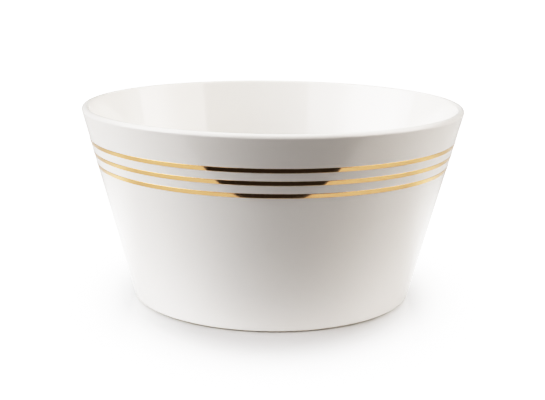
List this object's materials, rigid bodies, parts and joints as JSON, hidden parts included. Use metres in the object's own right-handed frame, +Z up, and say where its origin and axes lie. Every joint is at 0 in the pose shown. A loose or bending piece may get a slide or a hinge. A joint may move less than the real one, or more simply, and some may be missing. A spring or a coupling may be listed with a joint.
{
  "type": "serving bowl",
  "caption": "Round porcelain serving bowl with a straight flared wall, flat floor, rounded lip and low foot ring, glazed white, with gold bands below the rim.",
  "frame": {"origin": "centre of the foot ring, on the plane that the bowl stands on", "axes": "+Z up along the bowl's axis of revolution; X and Y are alike, because the bowl is round"},
  "size_m": [0.23, 0.23, 0.117],
  "materials": {
    "bisque_porcelain": "matte",
    "clear_glaze_on_porcelain": "gloss",
    "bright_gold": "polished"
  },
  "bodies": {
    "root": {"porcelain_body": "bisque_porcelain", "glaze_coat": "clear_glaze_on_porcelain", "underside_glaze": "clear_glaze_on_porcelain", "gold_band_upper": "bright_gold", "gold_band_middle": "bright_gold", "gold_band_lower": "bright_gold"}
  },
  "joints": []
}
